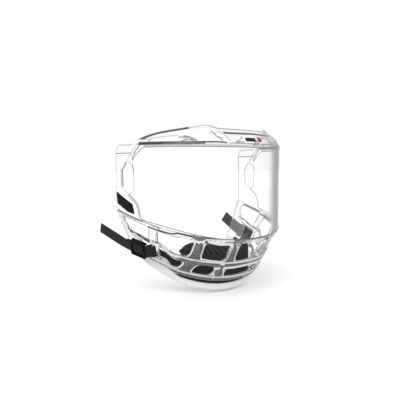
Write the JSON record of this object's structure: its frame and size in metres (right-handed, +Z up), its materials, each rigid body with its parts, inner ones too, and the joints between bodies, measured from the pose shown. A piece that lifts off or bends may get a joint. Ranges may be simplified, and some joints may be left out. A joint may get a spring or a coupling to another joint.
{
  "type": "hockey full visor",
  "caption": "Clear full-face hockey visor: curved lens with folded brow and side wings, slotted breathing guard, padded chin cup and side straps with glides.",
  "frame": {"origin": "midway between the two wings' rear edges, level with the fold where the lens meets the brow", "axes": "+Z up, the front of the face towards -Y, the wearer's right hand towards -X"},
  "size_m": [0.2158, 0.1456, 0.1818],
  "materials": {
    "clear": "clear gloss polycarbonate",
    "cup": "off-white satin",
    "foam": "dark closed-cell foam",
    "webbing": "black woven webbing",
    "black_plastic": "black satin"
  },
  "bodies": {
    "visor": {"lens_window": "clear", "brow_band": "clear", "wing_right": "clear", "wing_left": "clear", "ledge_rail": "clear", "middle_rail": "clear", "bottom_rail": "clear", "cheek_strut_right": "clear", "cheek_strut_left": "clear", "front_strut_right": "clear", "front_strut_left": "clear", "jaw_strut_right": "clear", "jaw_strut_left": "clear", "chin_strut_right": "clear", "chin_strut_left": "clear", "vent_frame_right": "clear", "vent_frame_left": "clear", "jaw_plate_right": "clear", "jaw_plate_left": "clear", "side_post_right": "clear", "side_post_left": "clear", "strap_post_right": "clear", "strap_post_left": "clear", "chin_cup": "cup", "chin_pad_upper": "foam", "chin_pad_lower": "foam", "badge_right": "black_plastic"},
    "strap_right": {"strap_right": "webbing"},
    "strap_left": {"strap_left": "webbing"},
    "glide_right": {"tri_glide_right": "black_plastic"},
    "glide_left": {"tri_glide_left": "black_plastic"}
  },
  "joints": [
    {"name": "strap_right_swing", "type": "hinge", "parent": "visor", "child": "strap_right", "pos_m": [-0.07937, -0.03865, -0.1135], "axis": [-0.4, -0.2977, 0.8668], "range_deg": [0, 85]},
    {"name": "strap_left_swing", "type": "hinge", "parent": "visor", "child": "strap_left", "pos_m": [0.07937, -0.03865, -0.1135], "axis": [-0.4, 0.2977, -0.8668], "range_deg": [0, 85]},
    {"name": "glide_right_slide", "type": "slide", "parent": "strap_right", "child": "glide_right", "axis": [-0.2192, 0.9494, 0.2249], "range_m": [0, 0.006]},
    {"name": "glide_left_slide", "type": "slide", "parent": "strap_left", "child": "glide_left", "axis": [0.2192, 0.9494, 0.2249], "range_m": [0, 0.006]}
  ]
}
